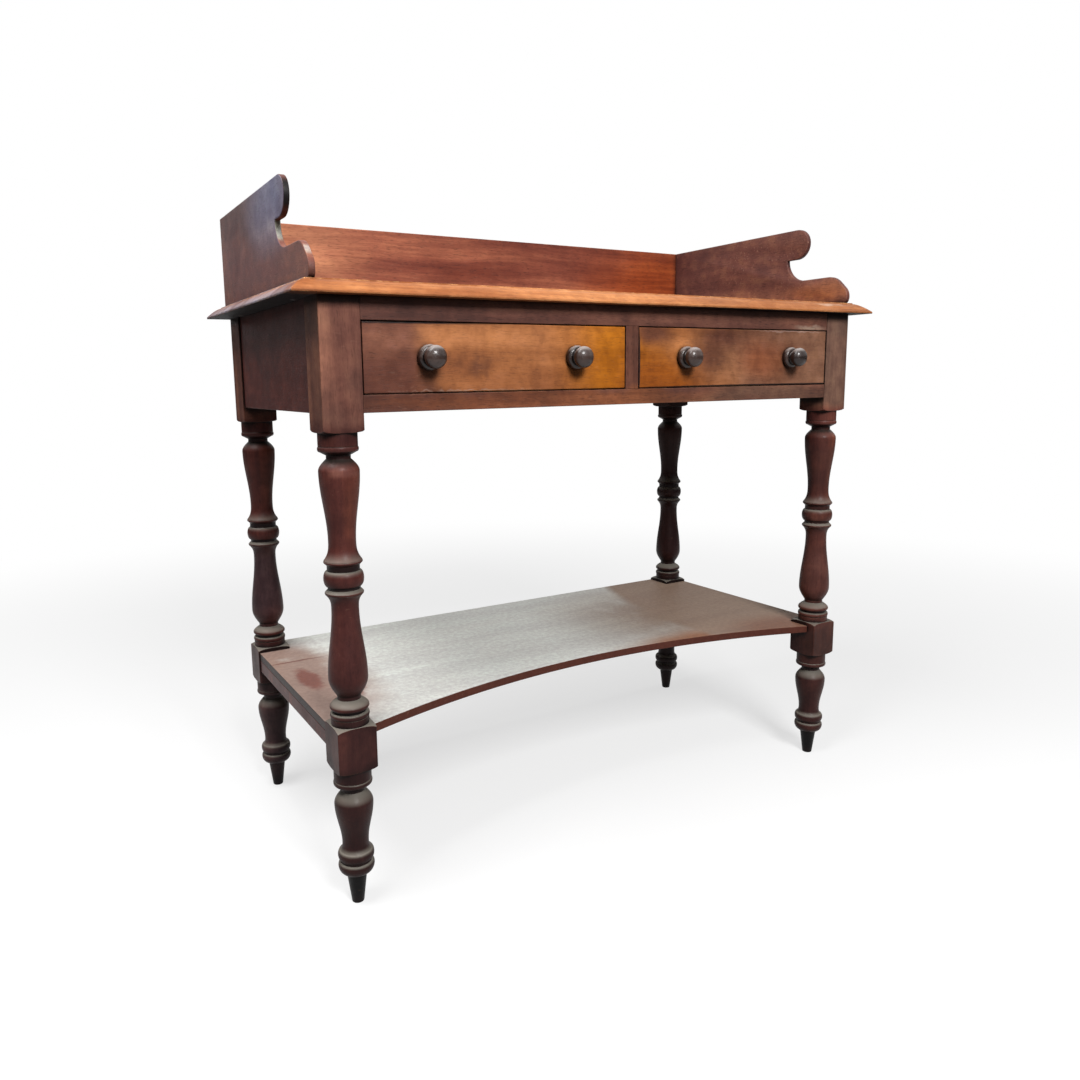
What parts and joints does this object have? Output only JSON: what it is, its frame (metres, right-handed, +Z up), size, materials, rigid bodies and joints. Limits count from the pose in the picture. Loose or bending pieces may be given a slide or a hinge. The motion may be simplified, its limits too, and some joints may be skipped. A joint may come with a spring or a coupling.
{
  "type": "washstand",
  "caption": "Turned-leg wooden washstand with two frieze drawers, a moulded top, a scrolled gallery on three sides and a hollow-fronted undershelf.",
  "frame": {"origin": "on the floor, under the middle of the stand's box", "axes": "+X to the right along the front, +Y to the back, +Z up"},
  "size_m": [0.918, 0.4372, 0.867],
  "materials": {
    "leg_mahogany": "polished",
    "frieze_mahogany": "polished",
    "drawer_front_mahogany": "polished",
    "top_mahogany": "polished",
    "shelf_mahogany": "worn polish",
    "ebonised_wood": "polished",
    "pine": "raw",
    "steel": "dull"
  },
  "bodies": {
    "stand": {"leg_front_left": "leg_mahogany", "leg_front_right": "leg_mahogany", "leg_back_left": "leg_mahogany", "leg_back_right": "leg_mahogany", "apron_left": "frieze_mahogany", "apron_right": "frieze_mahogany", "apron_back": "frieze_mahogany", "front_top_rail": "frieze_mahogany", "front_bottom_rail": "frieze_mahogany", "centre_stile": "frieze_mahogany", "runner_left": "pine", "runner_right": "pine", "runner_centre": "pine", "guide_left": "pine", "guide_right": "pine", "guide_centre": "pine", "kicker_left": "pine", "kicker_right": "pine", "kicker_centre": "pine", "drawer_stops": "pine", "top_board": "top_mahogany", "gallery_left": "top_mahogany", "gallery_right": "top_mahogany", "gallery_back": "top_mahogany", "gallery_screws": "steel", "top_screws": "steel", "glue_blocks": "pine", "shelf": "shelf_mahogany", "shelf_rail_left": "shelf_mahogany", "shelf_rail_right": "shelf_mahogany", "shelf_screws": "steel"},
    "drawer_left": {"drawer_left_front": "drawer_front_mahogany", "drawer_left_outer_side": "pine", "drawer_left_inner_side": "pine", "drawer_left_back": "pine", "drawer_left_bottom": "pine", "drawer_left_bottom_screws": "steel", "drawer_left_knobs": "ebonised_wood"},
    "drawer_right": {"drawer_right_front": "drawer_front_mahogany", "drawer_right_outer_side": "pine", "drawer_right_inner_side": "pine", "drawer_right_back": "pine", "drawer_right_bottom": "pine", "drawer_right_bottom_screws": "steel", "drawer_right_knobs": "ebonised_wood"}
  },
  "joints": [
    {"name": "drawer_left_slide", "type": "slide", "parent": "stand", "child": "drawer_left", "axis": [0, -1, 0], "range_m": [0, 0.28]},
    {"name": "drawer_right_slide", "type": "slide", "parent": "stand", "child": "drawer_right", "axis": [0, -1, 0], "range_m": [0, 0.28]}
  ]
}
